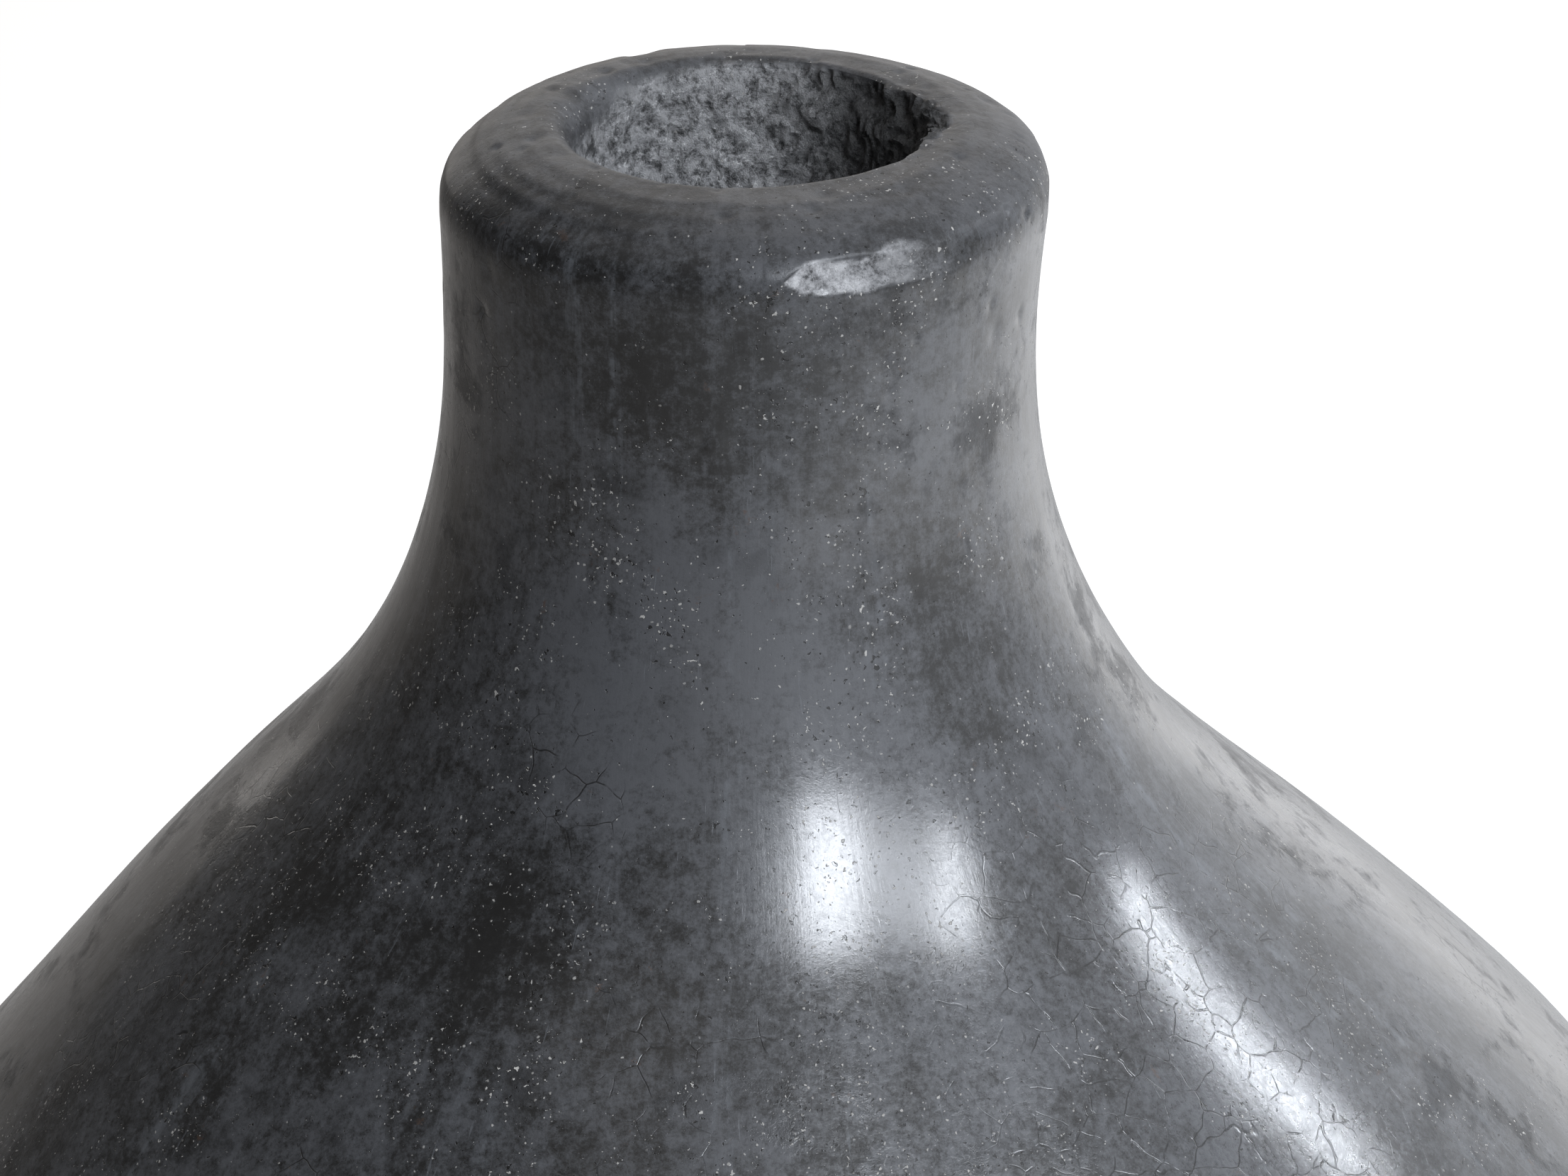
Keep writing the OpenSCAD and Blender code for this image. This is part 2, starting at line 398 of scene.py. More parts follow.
def unevenness(s, point, r, z, normal):
    """How far the hand-made skin stands off the CAD line, along its normal, for rows at places s.

    Also gives the two marks that the material reads: raw clay, and clay worn by the facet, which the
    material also paints pale as a painted highlight.
    """
    phi = PHI[None, :]
    outer = 1.0 - smooth(S_TOP + 0.001, S_TOP + 0.006, s)[:, None]
    outside = 1.0 - smooth(S_TOP - 0.004, S_TOP - 0.001, s)[:, None]
    h = sum(height * noise(point, size, offset) for height, size, offset in HAND_WAVES)
    h = h * (1.0 + RIM_WAVES * smooth(TOP - 0.02, TOP - 0.008, z))
    # strokes of the burnishing stone, up and down the wall, and the finer waves between them
    calm = 1.0
    for middle, share in ((BURNISHED_AT, 0.75), (CRACKED_AT, 0.60)):
        away = np.linalg.norm(point - np.array(middle), axis=-1)
        calm = calm * (1.0 - share * bump(away, 0.0, CALM_REACH))
    for height, size, offset in STROKE_WAVES:
        h = h + outer * calm * height * noise(around(point), size, offset)
    h = h + outer * calm * 0.000015 * noise(point, 0.005, 2.4)
    for depth, middle, width in HOLLOWS:
        h = h - outer * depth * bump(z, middle, width)
    rim, worn = rim_cut(phi, point, r, z, normal, outside)
    h = h + outer * rim
    # inside the mouth: gouged and gritty, smoother on the left
    raw = rawness(s, point)
    rough = raw * (1.0 - 0.65 * turn_bump(phi, FUNNEL_TURN, 45))
    gouge = around(point)
    gouge[..., 2] *= 4.0
    h = h + rough * (0.00080 * fractal(point, 0.012, 3, 1.7) + 0.00025 * noise(gouge, 0.0075, 6.1))
    h = h + rough * 0.00080 * noise(point, 0.0038, 8.3)
    h = h - rough * 0.00120 * np.abs(noise(point, 0.0024, 3.3))
    # the mouth is a little closed, opens in a funnel on the left, and its edge is chipped on the right
    lip = bump(s, S_TOP + LIP, 0.0050)[:, None]
    h = h + lip * (0.0008 - 0.0013 * turn_bump(phi, FUNNEL_TURN, 50) + 0.0006 * noise(point, 0.014, 7.7))
    chipped = turn_bump(phi, CHIPPED_TURN, 26) * bump(s, S_TOP + CHIPPED, 0.0032)[:, None]
    h = h - chipped * (0.0010 + 0.0014 * noise(point, 0.0035, 5.1) + 0.0010 * noise(point, 0.0015, 3.6))
    return h + calm * pitted(s, np.zeros((len(s), COLUMNS))), raw, worn


def rawness(s, point):
    """0 on the burnished outside, 1 on the rough clay inside, with a ragged edge at the mouth."""
    phi = PHI[None, :]
    funnel = turn_bump(phi, FUNNEL_TURN, 55)
    edge = S_TOP + RAW_EDGE + 0.0014 * noise(point, 0.012, 4.0) + 0.0030 * funnel
    edge = edge - (0.0036 + 0.0020 * noise(point, 0.004, 2.2)) * turn_bump(phi, CHIPPED_TURN, 20)
    raw = smooth(0.0, 1.0, (s[:, None] - edge) / (0.0012 + 0.006 * funnel))
    near_mouth = smooth(S_TOP + 0.022, S_TOP + 0.014, s)[:, None]
    return raw * (1.0 - 0.5 * turn_bump(phi, FUNNEL_TURN, 45) * near_mouth)


def skin(s):
    """Places s on the skin line carried round the pot: rows of COLUMNS positions, and the marks on them."""
    r = np.interp(s, line[:, 0], line[:, 1])
    z = np.interp(s, line[:, 0], line[:, 2])
    normal_r = np.interp(s, line[:, 0], _direction[:, 1])[:, None]
    normal_z = -np.interp(s, line[:, 0], _direction[:, 0])[:, None]
    round_x, round_y = np.sin(PHI)[None, :], -np.cos(PHI)[None, :]
    heights = np.repeat(z[:, None], COLUMNS, axis=1)
    point = np.stack([r[:, None] * round_x, r[:, None] * round_y, heights], axis=-1)
    h, raw, worn = unevenness(s, point, r[:, None], z[:, None], (normal_r, normal_z))
    # nothing swells out near the floor, so that the pot stands on its foot
    above_floor = smooth(0.002, 0.02, z)[:, None]
    h = np.where(h > 0, h * above_floor, h * (0.15 + 0.85 * above_floor))
    out = point.copy()
    out[..., 0] += h * normal_r * round_x
    out[..., 1] += h * normal_r * round_y
    out[..., 2] += h * normal_z
    out[..., 2] = np.maximum(out[..., 2], 0.0)
    return lean(out), np.stack([raw, worn], axis=-1)


def lean(p):
    """The whole pot is a little off true: the shoulder swells to the right and the rim tips forward."""
    z = p[..., 2]
    sway = SHOULDER_SWAY * smooth(0.268, 0.206, z)
    sway = sway * (0.35 + 0.65 * smooth(0.06, 0.20, z)) * smooth(0.0, 0.06, z)
    sway = sway - CREASE_SWAY * bump(z, CREASE_Z + 0.002, 0.0155) - NECK_SWAY * bump(z, 0.312, 0.034)
    sway = sway + RIM_SWAY * smooth(0.352, 0.372, z) + RIM_EDGE_SWAY * bump(z, TOP - 0.004, 0.0022)
    q = p.copy()
    q[..., 0] += sway
    q[..., 2] += smooth(TOP - 0.014, TOP - 0.004, z) * (RIM_TIP * p[..., 1] - RIM_SINK)
    return q


# ---------------------------------------------------------------------------
# Meshes
# ---------------------------------------------------------------------------


def ridge_row(outer, inner):
    """The hidden ridge half way through a joint, pointing up the wall."""
    across = inner - outer
    radial = np.stack([np.sin(PHI), -np.cos(PHI), np.zeros(COLUMNS)], axis=-1)
    a_r = np.sum(across * radial, axis=-1)
    a_z = across[:, 2]
    length = np.hypot(a_r, a_z)
    up = radial * (a_z / length)[:, None]
    up[:, 2] = -a_r / length
    return (outer + inner) / 2.0 + RIDGE * up


def between(low, high, step):
    """Even places from low to high, about step apart."""
    return np.linspace(low, high, max(3, int(round((high - low) / step)) + 1))


def mesh_from_rows(name, rows, marks, caps=None):
    """A closed skin through rows of COLUMNS points, with the marks as attributes of its vertices.

    With caps, the two centre points close its ends; without, the last row joins the first.
    """
    count = len(rows)
    vertices = rows.reshape(-1, 3)
    marks = marks.reshape(-1, 2)
    i = np.arange(count if caps is None else count - 1)[:, None]
    j = np.arange(COLUMNS)[None, :]
    after = (j + 1) % COLUMNS
    above = (i + 1) % count
    ring = [i * COLUMNS + j, i * COLUMNS + after, above * COLUMNS + after, above * COLUMNS + j]
    faces = np.stack(ring, axis=-1).reshape(-1, 4).tolist()
    if caps is not None:
        first = len(vertices)
        end = (count - 1) * COLUMNS
        vertices = np.concatenate([vertices, caps])
        marks = np.concatenate([marks, CAP_MARKS])
        faces += [[first, (k + 1) % COLUMNS, k] for k in range(COLUMNS)]
        faces += [[first + 1, end + k, end + (k + 1) % COLUMNS] for k in range(COLUMNS)]
    mesh = bpy.data.meshes.new(name)
    mesh.from_pydata(vertices.tolist(), [], faces)
    for column, mark in enumerate(("raw", "worn")):
        layer = mesh.attributes.new(mark, "FLOAT", "POINT")
        layer.data.foreach_set("value", np.ascontiguousarray(marks[:, column], dtype=np.float32))
    mesh.polygons.foreach_set("use_smooth", np.ones(len(mesh.polygons), dtype=bool))
    mesh.update()
    mesh.set_sharp_from_angle(angle=math.radians(SHARP_TURN))
    piece = bpy.data.objects.new(name, mesh)
    bpy.context.scene.collection.objects.link(piece)
    return piece


def outside_step(node):
    """Distance between the section's rows on the outside, closer where the photo looks."""
    if node in ROW:
        return ROW[node]
    return ROW_SHOULDER if node.startswith("shoulder") else ROW_BELOW


def section_piece(index):
    """One clay section of the pot, between its two joints."""
    node = STACK[index]
    name = node + "_clay"
    step = outside_step(node)
    if node == "rim_ring":
        rows, marks = skin(between(S_OUT[-1], S_IN[-1], step))
        tip = ridge_row(rows[0], rows[-1])[None]
        return mesh_from_rows(name, np.concatenate([rows, tip]), np.concatenate([marks, marks[-1:]]))
    if node == "base_pad":
        outer, outer_marks = skin(between(CAP_RADIUS, S_OUT[0], step))
        inner, inner_marks = skin(between(S_IN[0], S_END - CAP_RADIUS, ROW_INSIDE))
    else:
        outer, outer_marks = skin(between(S_OUT[index - 1], S_OUT[index], step))
        inside = ROW_NECK_INSIDE if node == "neck_wall" else ROW_INSIDE
        inner, inner_marks = skin(between(S_IN[index], S_IN[index - 1], inside))
    top_ridge = ridge_row(outer[-1], inner[0])[None]
    rows = np.concatenate([outer, top_ridge, inner])
    marks = np.concatenate([outer_marks, inner_marks[:1], inner_marks])
    if node == "base_pad":
        floor_height = inner[-1, :, 2].mean()
        return mesh_from_rows(name, rows, marks, np.array([[0.0, 0.0, 0.0], [0.0, 0.0, floor_height]]))
    low_ridge = ridge_row(outer[0], inner[-1])[None]
    rows = np.concatenate([rows, low_ridge])
    return mesh_from_rows(name, rows, np.concatenate([marks, inner_marks[-1:]]))


# ---------------------------------------------------------------------------
# Material
# ---------------------------------------------------------------------------


class Nodes:
    """Short names for the shader nodes of a new material, or of the tree that is passed in."""

    def __init__(self, name="", tree=None):
        if tree is None:
            self.material = bpy.data.materials.new(name)
            self.material.use_nodes = True
            tree = self.material.node_tree
            tree.nodes.clear()
        self.tree = tree

    def new(self, kind, **settings):
        """A node of the kind, with its settings."""
        node = self.tree.nodes.new(kind)
        for key, value in settings.items():
            setattr(node, key, value)
        return node

    def put(self, socket, value):
        """Puts a link or a constant on the socket."""
        if isinstance(value, bpy.types.NodeSocket):
            self.tree.links.new(value, socket)
        else:
            socket.default_value = value

    def math(self, operation, a, b=0.0):
        """The operation's number from one or two numbers."""
        node = self.new("ShaderNodeMath", operation=operation)
        self.put(node.inputs[0], a)
        self.put(node.inputs[1], b)
        return node.outputs[0]

    def add(self, a, b):
        return self.math("ADD", a, b)

    def minus(self, a, b):
        return self.math("SUBTRACT", a, b)

    def times(self, a, b):
        return self.math("MULTIPLY", a, b)

    def most(self, a, b):
        """The larger of the two."""
        return self.math("MAXIMUM", a, b)

    def weigh(self, *parts):
        """Sum of value times weight over the (value, weight) parts."""
        total = self.times(*parts[0])
        for value, weight in parts[1:]:
            total = self.add(total, self.times(value, weight))
        return total

    def vector(self, operation, a, b=(0.0, 0.0, 0.0)):
        """The operation's vector, or number, from one or two vectors."""
        node = self.new("ShaderNodeVectorMath", operation=operation)
        self.put(node.inputs[0], a)
        self.put(node.inputs[1], b)
        return node.outputs["Value" if operation in ("LENGTH", "DOT_PRODUCT") else "Vector"]

    def noise(self, vector, size, detail, rough=0.55, distort=0.0):
        """Noise from 0 to 1 whose lumps are about size across."""
        node = self.new("ShaderNodeTexNoise")
        self.put(node.inputs["Vector"], vector)
        self.put(node.inputs["Scale"], 1.0 / size)
        self.put(node.inputs["Detail"], detail)
        self.put(node.inputs["Roughness"], rough)
        self.put(node.inputs["Distortion"], distort)
        return node.outputs["Fac"]

    def wander(self, vector, size):
        """Noise with a direction, for bending other patterns."""
        node = self.new("ShaderNodeTexNoise")
        self.put(node.inputs["Vector"], vector)
        self.put(node.inputs["Scale"], 1.0 / size)
        self.put(node.inputs["Detail"], 2.0)
        return self.vector("SUBTRACT", node.outputs["Color"], (0.5, 0.5, 0.5))

    def bend(self, vector, size, reach):
        """The place vector carried up to half of reach to any side, so that straight patterns wander."""
        return self.vector("ADD", vector, self.vector("MULTIPLY", self.wander(vector, size), (reach,) * 3))

    def away(self, vector, point):
        """Distance from the point."""
        return self.vector("LENGTH", self.vector("SUBTRACT", vector, point))

    def cells(self, vector, size, feature="F1"):
        """A pattern of cells about size across."""
        node = self.new("ShaderNodeTexVoronoi", feature=feature)
        self.put(node.inputs["Vector"], vector)
        self.put(node.inputs["Scale"], 1.0 / size)
        return node

    def ramp(self, value, low, high):
        """0 at low, 1 at high, smooth between."""
        node = self.new("ShaderNodeMapRange", interpolation_type="SMOOTHSTEP")
        self.put(node.inputs["Value"], value)
        self.put(node.inputs["From Min"], low)
        self.put(node.inputs["From Max"], high)
        return node.outputs["Result"]

    def blend(self, factor, a, b):
        """Colour a where factor is 0 and b where it is 1."""
        node = self.new("ShaderNodeMix", data_type="RGBA")
        self.put(node.inputs["Factor"], factor)
        self.put(node.inputs["A"], (*a, 1.0) if isinstance(a, tuple) else a)
        self.put(node.inputs["B"], (*b, 1.0) if isinstance(b, tuple) else b)
        return node.outputs["Result"]

    def between(self, factor, a, b):
        """Number a where factor is 0 and b where it is 1."""
        node = self.new("ShaderNodeMix", data_type="FLOAT")
        self.put(node.inputs["Factor"], factor)
        self.put(node.inputs["A"], a)
        self.put(node.inputs["B"], b)
        return node.outputs["Result"]

    def split(self, vector):
        """The vector's x, y and z."""
        node = self.new("ShaderNodeSeparateXYZ")
        self.put(node.inputs[0], vector)
        return node.outputs

    def join(self, x, y, z):
        """The vector with these x, y and z."""
        node = self.new("ShaderNodeCombineXYZ")
        for socket, value in zip(node.inputs, (x, y, z)):
            self.put(socket, value)
        return node.outputs[0]

    def bump(self, height, strength):
        """The normal bent by the height, in metres."""
        node = self.new("ShaderNodeBump")
        self.put(node.inputs["Strength"], strength)
        self.put(node.inputs["Distance"], 1.0)
        self.put(node.inputs["Height"], height)
        return node.outputs["Normal"]


SOOT_AND_SHADE = (0.0082, 0.0079, 0.0077)      # black of the less polished patches, and of the painted shade on the right side of the bare clay inside
CHARCOAL = (0.0165, 0.0166, 0.0170)
SLATE = (0.062, 0.0645, 0.0705)      # grey of the polished patches
VEIL = (0.110, 0.119, 0.132)
GRIT = (0.42, 0.41, 0.39)            # pale mineral grains
PORE = (0.003, 0.003, 0.003)
RUST = (0.060, 0.034, 0.022)
WIPED = ((0.0225, 0.0225, 0.0235), (0.059, 0.060, 0.064))      # the rim, dark and pale
BARE = ((0.050, 0.050, 0.051), (0.362, 0.364, 0.371))          # inside, in the hollows and on the lumps
BARE_FLECK = (0.66, 0.66, 0.67)
CHAFED_AND_LIT = ((0.110, 0.111, 0.116), (0.345, 0.348, 0.357))        # the facet, dark and pale: chafed clay, and a painted highlight where the facet catches the window's light

TONES = (0.43, 0.58)       # the noise's values where the clay is darkest and palest

WALL_REACH = 0.08          # the strokes' coordinates lie on a cylinder of this radius
WALL_SQUASH = 0.11         # and their pattern is drawn out up and down by the inverse of this

# Mineral grains: (size of the cells, radius in cells, the share left empty where few and where many)
GRAINS = (
    (0.0009, 0.19, 0.975, 0.58),
    (0.0016, 0.12, 0.975, 0.66),
    (0.0031, 0.08, 0.98, 0.80),
)

# Heights of the relief, in metres
STROKE_HEIGHT = 0.000022
TOOTH_HEIGHT = (0.00004, 0.00012)      # of the finest tooth, where polished and where dull
GRAIN_HEIGHT = 0.00006
PORE_DEPTH = 0.00012
CRACK_DEPTH = 0.00005
SCRATCH_DEPTH = 0.000012
LUMP_HEIGHT = 0.0022       # of the bare clay inside

ROUGHNESS = (0.34, 0.28)   # in the dark clouds and in the pale ones
STREAKS_IN_ROUGHNESS = 0.25
FLECKS_IN_ROUGHNESS = 0.30
COAT = 0.95                # the burnished sheen
COAT_ROUGHNESS = (0.08, 0.20)
COAT_RELIEF = 0.60         # how much of the relief shows in the sheen
GLOSS = 0.17               # reflection of the clay under the sheen
IOR = 1.50


def clay_material():
    """Smoke-fired clay: burnished outside, gritty and matt where the attribute raw is 1."""
    n = Nodes("barro_clay")
    place = n.new("ShaderNodeTexCoord").outputs["Object"]
    raw = n.new("ShaderNodeAttribute", attribute_name="raw").outputs["Fac"]
    # worn marks the facet's worn clay, where the facet is also painted pale as a painted highlight
    worn = n.new("ShaderNodeAttribute", attribute_name="worn").outputs["Fac"]

    # coordinates that run up and down the wall, for the strokes of the burnishing stone
    x, y, height = n.split(place)
    spoke = n.vector("MULTIPLY", n.vector("NORMALIZE", n.join(x, y, 0.0)), (WALL_REACH,) * 3)
    spoke_x, spoke_y = n.split(spoke)[:2]
    strokes = n.join(spoke_x, spoke_y, n.times(height, WALL_SQUASH))

    bent = n.bend(place, 0.008, 0.004)
    cloud = n.noise(bent, 0.030, 7.0, 0.68)
    patch = n.noise(bent, 0.014, 7.0, 0.70)
    mottle = n.noise(bent, 0.0050, 6.0, 0.72)
    flecks = n.noise(place, 0.0014, 5.0, 0.85)
    streak = n.noise(strokes, 0.0045, 6.0, 0.68)
    fine_streak = n.noise(strokes, 0.0011, 4.0, 0.65)

    # dull marks where the polish didn't take: darker, warmer, rough and speckled
    dullness = n.weigh((patch, 0.5), (cloud, 0.3), (mottle, 0.2))
    near_polish = n.away(place, BURNISHED_AT)
    near_crack = n.away(place, CRACKED_AT)
    dull = n.times(n.ramp(dullness, 0.50, 0.60), n.ramp(near_polish, 0.014, 0.045))
    dull = n.times(dull, n.between(n.ramp(near_crack, 0.020, 0.050), 0.15, 1.0))
    pale = n.ramp(n.away(bent, PALE_AT), 0.040, 0.008)
    dark = n.ramp(n.away(bent, DARK_AT), 0.034, 0.008)
    tone = n.weigh((cloud, 0.36), (mottle, 0.20), (streak, 0.12), (flecks, 0.32))
    tone = n.add(tone, n.weigh((pale, 0.072), (dark, -0.035)))
    dull = n.times(dull, n.between(pale, 1.0, 0.3))
    colour = n.blend(n.ramp(tone, *TONES), CHARCOAL, SLATE)
    colour = n.blend(n.times(dull, 0.62), colour, SOOT_AND_SHADE)
    colour = n.blend(n.times(n.ramp(tone, 0.49, 0.40), 0.6), colour, SOOT_AND_SHADE)
    # thin pale veils left by the smoke
    veil = n.ramp(n.noise(strokes, 0.010, 5.0, 0.7), 0.55, 0.70)
    veil = n.times(veil, n.ramp(mottle, 0.42, 0.62))
    colour = n.blend(n.times(veil, 0.48), colour, VEIL)

    # mineral grains: irregular flecks and a few larger grains, in swarms
    swarm = n.ramp(n.add(n.noise(place, 0.016, 3.0, 0.65), n.times(dull, 0.07)), 0.50, 0.62)
    near_swarm = n.ramp(n.away(strokes, SPECKLED_AT), 0.020, 0.008)
    swarm = n.most(swarm, n.times(near_swarm, n.ramp(mottle, 0.42, 0.58)))
    fleck = n.noise(place, 0.00075, 2.0, 0.5)
    fleck_cut = n.between(swarm, 0.745, 0.665)
    grain = n.ramp(fleck, fleck_cut, n.add(fleck_cut, 0.035))
    jitter = n.bend(place, 0.0009, 0.0006)
    for size, radius, few, many in GRAINS:
        cell = n.cells(jitter, size)
        pick = n.new("ShaderNodeSeparateColor")
        n.put(pick.inputs[0], cell.outputs["Color"])
        chosen = n.math("GREATER_THAN", pick.outputs[0], n.between(swarm, few, many))
        reach = n.between(pick.outputs[2], radius * 0.5, radius * 1.5)
        dot = n.ramp(cell.outputs["Distance"], reach, n.times(reach, 0.6))
        dot = n.times(n.times(chosen, dot), n.between(pick.outputs[1], 0.15, 1.0))
        grain = n.most(grain, dot)
    grain_cover = n.times(grain, n.between(n.most(dull, raw), 0.60, 0.90))
    colour = n.blend(grain_cover, colour, GRIT)

    # pores: dark pinholes, irregular too
    hole = n.noise(place, 0.0009, 2.0, 0.5, 0.3)
    hole_cut = n.between(n.most(swarm, dull), 0.28, 0.34)
    pore = n.ramp(hole, hole_cut, n.minus(hole_cut, 0.03))
    colour = n.blend(n.times(pore, 0.85), colour, PORE)

    # rust-brown stains, few and small
    stain = n.times(n.ramp(n.noise(bent, 0.0060, 5.0, 0.7), 0.66, 0.72), 0.5)
    colour = n.blend(stain, colour, RUST)

    # hairline cracks, in a few patches
    web = n.cells(bent, 0.0060, "DISTANCE_TO_EDGE")
    crack_zone = n.most(n.ramp(n.noise(place, 0.045, 2.0), 0.57, 0.64), n.ramp(near_crack, 0.050, 0.025))
    crack = n.times(n.ramp(web.outputs["Distance"], 0.024, 0.006), crack_zone)
    crack = n.times(crack, n.ramp(n.noise(place, 0.006, 3.0), 0.44, 0.56))
    crack = n.times(crack, n.between(raw, 1.0, 0.0))
    colour = n.blend(n.times(crack, 0.75), colour, PORE)

    # scratches along the strokes
    scratch = n.ramp(n.noise(strokes, 0.00055, 1.0, 0.4), 0.70, 0.76)
    scratch = n.times(scratch, n.ramp(n.noise(place, 0.012, 2.0), 0.50, 0.60))
    colour = n.blend(n.times(scratch, 0.30), colour, VEIL)

    # the rim is only wiped, not burnished
    rim = n.ramp(height, TOP - 0.010, TOP - 0.004)
    wiped = n.blend(n.ramp(tone, *TONES), *WIPED)
    wiped = n.blend(n.most(grain_cover, n.times(pore, 0.8)), wiped, n.blend(pore, GRIT, PORE))
    colour = n.blend(n.times(rim, 0.8), colour, wiped)

    # bare clay inside the mouth and body: dark in its hollows, paler on its lumps
    lumps = n.noise(place, 0.0021, 6.0, 0.78)
    bare = n.blend(n.ramp(lumps, 0.34, 0.58), *BARE)
    bare = n.blend(n.times(n.ramp(flecks, 0.54, 0.64), n.ramp(lumps, 0.42, 0.56)), bare, BARE_FLECK)
    bare = n.blend(n.times(grain, 0.8), bare, GRIT)
    # painted shade: its right side, which the window's light doesn't reach, is darkened toward black
    painted_shade_side = n.add(x, n.times(n.minus(lumps, 0.5), 0.010))
    bare = n.blend(n.times(n.ramp(painted_shade_side, 0.002, 0.020), 0.80), bare, SOOT_AND_SHADE)
    colour = n.blend(raw, colour, bare)

    # the facet is chafed, and painted pale as a painted highlight where it catches the window's light
    facet_mottle = n.weigh((mottle, 0.5), (flecks, 0.5))
    chafed_and_lit = n.blend(n.ramp(facet_mottle, 0.40, 0.60), *CHAFED_AND_LIT)
    colour = n.blend(n.times(worn, n.ramp(facet_mottle, 0.36, 0.46)), colour, chafed_and_lit)

    rough = n.between(n.ramp(cloud, 0.38, 0.62), *ROUGHNESS)
    rough = n.add(rough, n.times(n.minus(fine_streak, 0.5), STREAKS_IN_ROUGHNESS))
    rough = n.add(rough, n.times(n.minus(flecks, 0.5), FLECKS_IN_ROUGHNESS))
    for mark, share, roughness in (
        (dull, 0.7, 0.42),
        (rim, 0.9, 0.50),
        (worn, 0.8, 0.36),
        (grain, 1.0, 0.60),
        (raw, 1.0, 0.80),
    ):
        rough = n.between(n.times(mark, share), rough, roughness)

    # relief: strokes, grains standing proud, pores, cracks and the tooth of the bare clay
    relief = n.weigh(
        (fine_streak, STROKE_HEIGHT),
        (flecks, n.between(n.most(dull, rim), *TOOTH_HEIGHT)),
        (grain, GRAIN_HEIGHT),
        (pore, -PORE_DEPTH),
        (crack, -CRACK_DEPTH),
        (scratch, -SCRATCH_DEPTH),
        (raw, n.times(lumps, LUMP_HEIGHT)),
    )

    # the sheen: full where burnished, little on the wiped rim, none on grains and bare clay
    polish = n.minus(1.0, n.most(n.times(dull, 0.6), n.most(raw, grain)))
    wiped_edge = n.ramp(height, TOP - 0.015, TOP - 0.009)
    polish = n.times(polish, n.between(wiped_edge, 1.0, 0.12))
    polish = n.times(polish, n.between(worn, 1.0, 0.5))
    shader = n.new("ShaderNodeBsdfPrincipled")
    for socket, value in (
        ("Base Color", colour),
        ("Roughness", rough),
        ("IOR", IOR),
        ("Specular IOR Level", GLOSS),
        ("Normal", n.bump(relief, 1.0)),
        ("Coat Weight", n.times(polish, COAT)),
        ("Coat Roughness", n.between(n.ramp(flecks, 0.40, 0.62), *COAT_ROUGHNESS)),
        ("Coat IOR", IOR),
        ("Coat Normal", n.bump(relief, COAT_RELIEF)),
    ):
        n.put(shader.inputs[socket], value)
    output = n.new("ShaderNodeOutputMaterial")
    n.put(output.inputs["Surface"], shader.outputs[0])
    return n.material


# ---------------------------------------------------------------------------
# Studio: floor, light and camera
# ---------------------------------------------------------------------------

AIM = Vector((0.0, 0.0, TOP - 0.08))     # the window's light points here
DAYLIGHT = (0.93, 0.98, 1.05)

# Window light: (name, azimuth, elevation, width and height in degrees, radiance)
PANES = (
    ("window_edge", 15, 38.0, 10, 17, 3.5),
    ("window_near", 26, 38.0, 12, 20, 22.0),
    ("window_middle", 42, 36, 20, 16, 7.0),
    ("window_far", 61, 35, 8, 14, 22.0),
    ("window_side", 108, 27.5, 1.8, 13, 66.0),
)
PANE_DISTANCE = 2.0

# Light from each part of the room
ROOM_LEFT_TINT = (1.0, 0.955, 0.91)     # warm away from the window
ROOM_RIGHT_TINT = (0.96, 0.985, 1.03)
ROOM_DARK = 0.08           # everywhere
ROOM_RIGHT = 0.92
ROOM_BEHIND = 1.3
ROOM_ABOVE = 0.6
BRIGHT_SIDE = (0.966, -0.259, 0.0)      # the way to the brightest part of the right wall
BEHIND_FADE = (0.58, 0.78)     # each part of the room fades in between these, toward its middle
ABOVE_FADE = (0.76, 0.86)
RIGHT_FADE = (-0.45, 0.85)
TINT_FADE = (-0.3, 0.5)

FLOOR_HALF = 4.0           # half the width of the paper under the pot
PAPER = (0.45, 0.45, 0.45)
PAPER_SHADE = (0.215, 0.203, 0.190)    # away from the window
FLOOR_GLOW = 0.75          # lifts the paper to white where the camera sees it

LENS = 100.0               # millimetres, before a sensor SENSOR wide
SENSOR = 36.0
RIM_LEVEL = TOP - 0.0162   # the camera's place is measured from the axis at this height
CAMERA_DISTANCE = 0.6445
CAMERA_ELEVATION = 20.0
CAMERA_PITCH = 24.88       # degrees down, and turned by CAMERA_YAW
CAMERA_YAW = -0.61


def toward(azimuth, elevation):
    """Unit vector out from the pot. Azimuth 0 is the camera's side and +90 is its right."""
    a, e = math.radians(azimuth), math.radians(elevation)
    return Vector((math.sin(a) * math.cos(e), -math.cos(a) * math.cos(e), math.sin(e)))


def pane(name, azimuth, elevation, width, height, radiance):
    """A soft rectangular light that covers width by height degrees as the pot sees it."""
    light = bpy.data.lights.new(name, "AREA")
    light.shape = "RECTANGLE"
    light.size = 2.0 * PANE_DISTANCE * math.tan(math.radians(width / 2.0))
    light.size_y = 2.0 * PANE_DISTANCE * math.tan(math.radians(height / 2.0))
    light.energy = radiance * math.pi * light.size * light.size_y
    light.color = DAYLIGHT
    lamp = bpy.data.objects.new(name, light)
    lamp.location = AIM + toward(azimuth, elevation) * PANE_DISTANCE
    lamp.rotation_euler = (lamp.location - AIM).to_track_quat("Z", "Y").to_euler()
    bpy.context.scene.collection.objects.link(lamp)


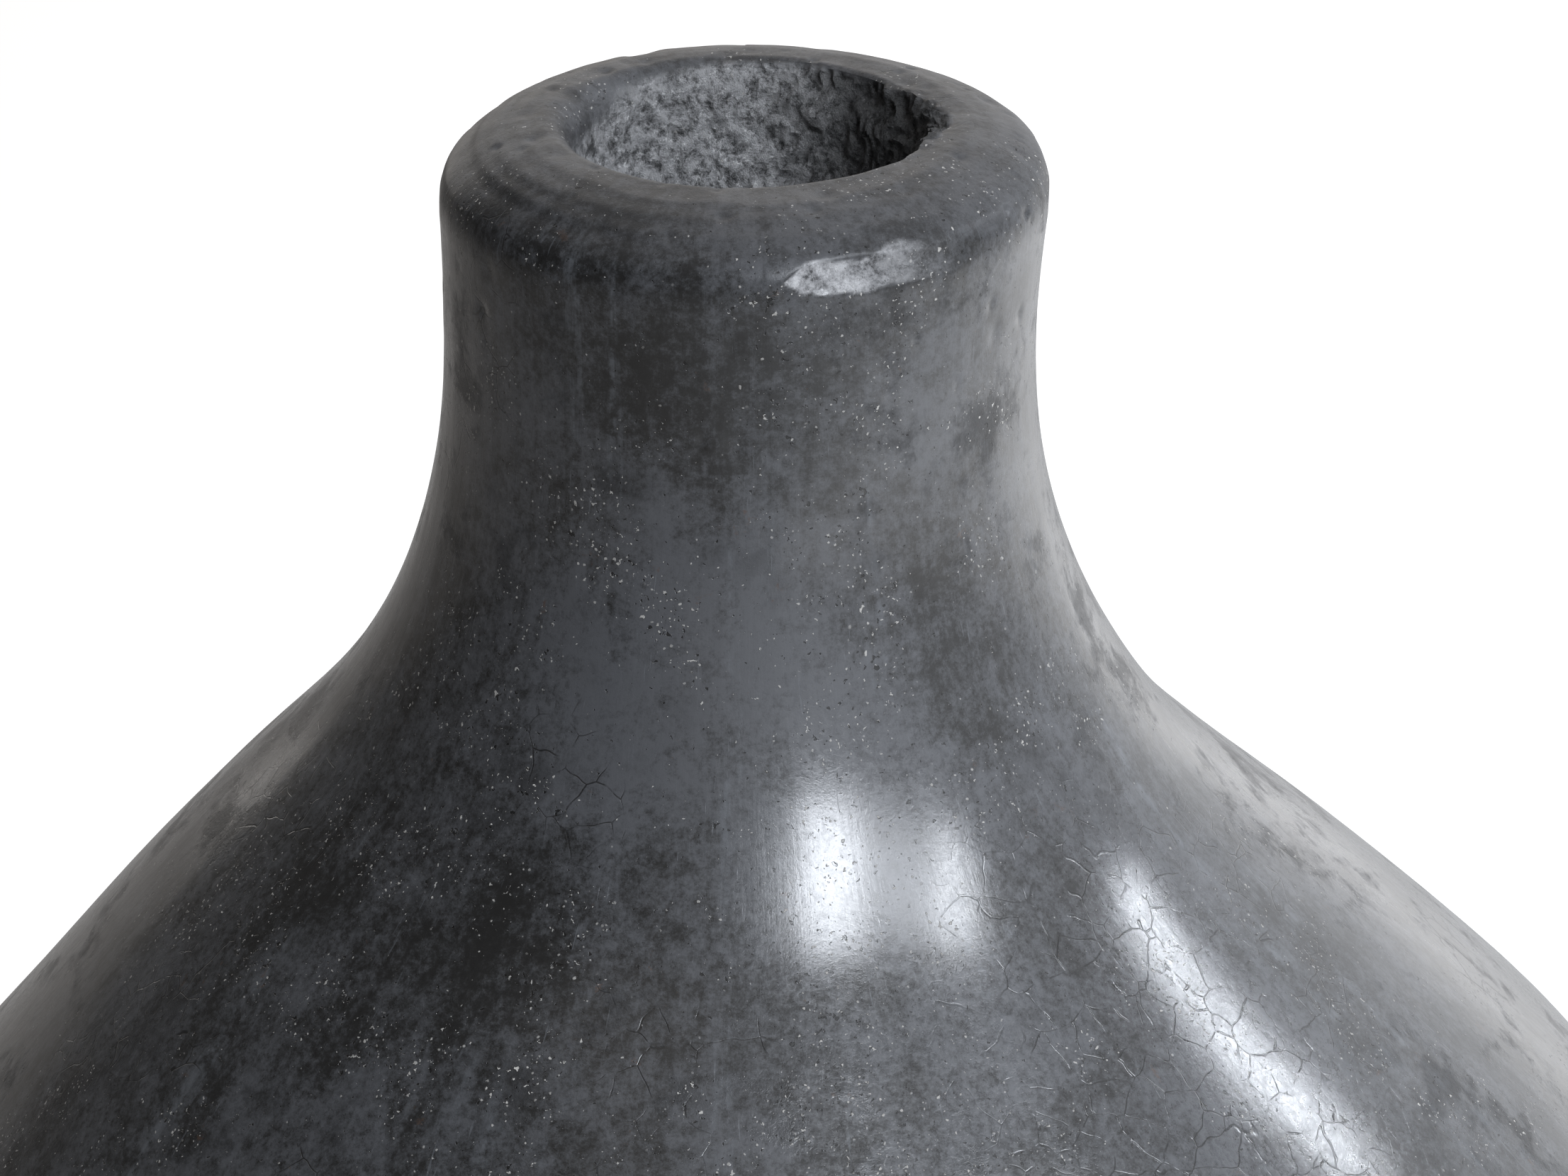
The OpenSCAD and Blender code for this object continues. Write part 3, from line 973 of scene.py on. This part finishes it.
def make_floor():
    """White paper, brighter toward the window's side, and plain white where the camera sees it."""
    a, b = -FLOOR_HALF, FLOOR_HALF
    mesh = bpy.data.meshes.new("studio_floor")
    mesh.from_pydata([(a, a, 0), (b, a, 0), (b, b, 0), (a, b, 0)], [], [(0, 1, 2, 3)])
    floor = bpy.data.objects.new("studio_floor", mesh)
    bpy.context.scene.collection.objects.link(floor)
    n = Nodes("studio_paper")
    across = n.split(n.new("ShaderNodeTexCoord").outputs["Object"])[0]
    seen = n.new("ShaderNodeLightPath").outputs["Is Camera Ray"]
    shader = n.new("ShaderNodeBsdfPrincipled")
    n.put(shader.inputs["Roughness"], 0.9)
    n.put(shader.inputs["Base Color"], n.blend(n.ramp(across, -0.5, 0.3), PAPER_SHADE, PAPER))
    n.put(shader.inputs["Emission Color"], (1.0, 1.0, 1.0, 1.0))
    # painted light: away from the camera the paper glows toward the right, a pool of window light that the
    # pot sees; where the camera sees it, an even white glow
    n.put(shader.inputs["Emission Strength"], n.between(seen, n.ramp(across, 0.15, 1.0), FLOOR_GLOW))
    output = n.new("ShaderNodeOutputMaterial")
    n.put(output.inputs["Surface"], shader.outputs[0])
    mesh.materials.append(n.material)


def make_world():
    """A pale room: bright behind the pot and to the right, less overhead, dark to the left.

    The camera sees plain white.
    """
    world = bpy.data.worlds.new("studio_room")
    bpy.context.scene.world = world
    world.use_nodes = True
    world.node_tree.nodes.clear()
    n = Nodes(tree=world.node_tree)
    direction = n.new("ShaderNodeTexCoord").outputs["Generated"]
    x, y, z = n.split(direction)
    level_out = n.math("SQRT", n.minus(1.0001, n.times(z, z)))
    behind = n.math("DIVIDE", n.add(y, n.times(x, 0.25)), level_out)
    behind = n.ramp(behind, *BEHIND_FADE)
    above = n.ramp(z, *ABOVE_FADE)
    toward_right = n.vector("DOT_PRODUCT", direction, BRIGHT_SIDE)
    right = n.ramp(toward_right, *RIGHT_FADE)
    level = n.add(n.times(right, ROOM_RIGHT), ROOM_DARK)
    level = n.most(level, n.times(behind, ROOM_BEHIND))
    level = n.most(level, n.times(above, ROOM_ABOVE))
    seen = n.new("ShaderNodeLightPath").outputs["Is Camera Ray"]
    background = n.new("ShaderNodeBackground")
    tint = n.blend(n.ramp(toward_right, *TINT_FADE), ROOM_LEFT_TINT, ROOM_RIGHT_TINT)
    n.put(background.inputs["Color"], n.blend(seen, tint, (1.0, 1.0, 1.0)))
    n.put(background.inputs["Strength"], n.between(seen, level, 1.0))
    output = n.new("ShaderNodeOutputWorld")
    n.put(output.inputs["Surface"], background.outputs[0])


def make_camera():
    """Long lens, close in, a little above the rim and tipped down at the shoulder."""
    data = bpy.data.cameras.new("studio_camera")
    data.lens = LENS
    data.sensor_width = SENSOR
    camera = bpy.data.objects.new("studio_camera", data)
    camera.location = Vector((0.0, 0.0, RIM_LEVEL)) + toward(0.0, CAMERA_ELEVATION) * CAMERA_DISTANCE
    camera.rotation_euler = (math.radians(90.0 - CAMERA_PITCH), 0.0, math.radians(CAMERA_YAW))
    bpy.context.scene.collection.objects.link(camera)
    bpy.context.scene.camera = camera


make_camera()
make_world()
make_floor()
for values in PANES:
    pane(*values)

clay = clay_material()
for index, node in enumerate(STACK):
    piece = section_piece(index)
    piece.data.materials.append(clay)
    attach(piece, "root")
    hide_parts(node)

bpy.context.scene.view_settings.view_transform = "Standard"
